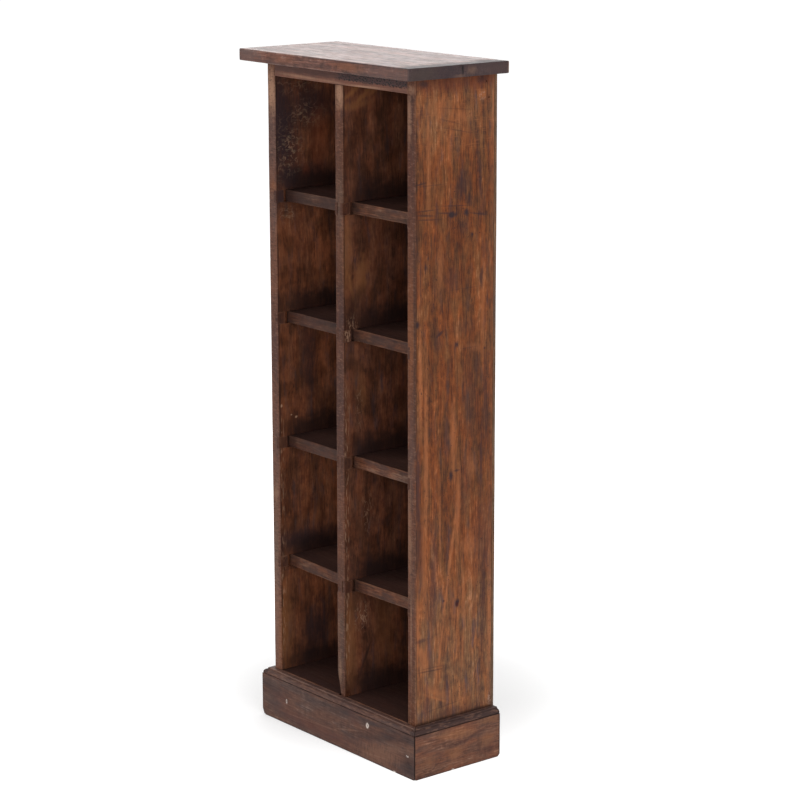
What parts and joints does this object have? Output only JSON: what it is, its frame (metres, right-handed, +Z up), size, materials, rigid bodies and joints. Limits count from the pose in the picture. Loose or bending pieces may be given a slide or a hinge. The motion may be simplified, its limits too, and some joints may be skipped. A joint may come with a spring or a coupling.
{
  "type": "disc storage tower",
  "caption": "Tall narrow open-fronted tower of stained solid wood on a moulded plinth, with two columns of compartments for disc cases under an overhanging top.",
  "frame": {"origin": "on the floor, under the middle of the tower's outline box", "axes": "+Z up, the open front faces -Y, +X to the right of someone who faces the front"},
  "size_m": [0.363, 0.1674, 0.949],
  "materials": {
    "top_stain": "dark stained hardwood, thinly waxed, satin, worn pale along its arrises",
    "side_stain": "warm red-brown stained hardwood with dark streaks along the grain, satin",
    "frame_stain": "grey-brown stained edges and rails, satin, with scuffs",
    "shelf_stain": "dark brown stained shelves with rubbed front edges",
    "end_grain": "thirsty end grain, dull and paler than the boards",
    "plinth_stain": "grey-brown stained moulding with diagonal saw marks, satin",
    "back_ply": "thin dark stained plywood, dull",
    "nail_steel": "bright wire nails, slightly dulled"
  },
  "bodies": {
    "root": {"top_board": "top_stain", "side_left": "side_stain", "side_right": "side_stain", "centre_divider": "frame_stain", "bottom_board": "frame_stain", "back_panel": "back_ply", "top_rail": "frame_stain", "base_rail": "frame_stain", "plinth_front": "plinth_stain", "plinth_left": "plinth_stain", "plinth_right": "plinth_stain", "shelf_left_1": "shelf_stain", "plug_left_1_left_end": "end_grain", "plug_left_1_right_end": "end_grain", "shelf_left_2": "shelf_stain", "plug_left_2_left_end": "end_grain", "plug_left_2_right_end": "end_grain", "shelf_left_3": "shelf_stain", "plug_left_3_left_end": "end_grain", "plug_left_3_right_end": "end_grain", "shelf_left_4": "shelf_stain", "plug_left_4_left_end": "end_grain", "plug_left_4_right_end": "end_grain", "shelf_right_1": "shelf_stain", "plug_right_1_left_end": "end_grain", "plug_right_1_right_end": "end_grain", "shelf_right_2": "shelf_stain", "plug_right_2_left_end": "end_grain", "plug_right_2_right_end": "end_grain", "shelf_right_3": "shelf_stain", "plug_right_3_left_end": "end_grain", "plug_right_3_right_end": "end_grain", "shelf_right_4": "shelf_stain", "plug_right_4_left_end": "end_grain", "plug_right_4_right_end": "end_grain", "plinth_nail_1": "nail_steel", "plinth_nail_2": "nail_steel", "plinth_nail_3": "nail_steel", "back_nail_left_1": "nail_steel", "back_nail_left_2": "nail_steel", "back_nail_left_3": "nail_steel", "back_nail_left_4": "nail_steel", "back_nail_right_1": "nail_steel", "back_nail_right_2": "nail_steel", "back_nail_right_3": "nail_steel", "back_nail_right_4": "nail_steel"}
  },
  "joints": []
}
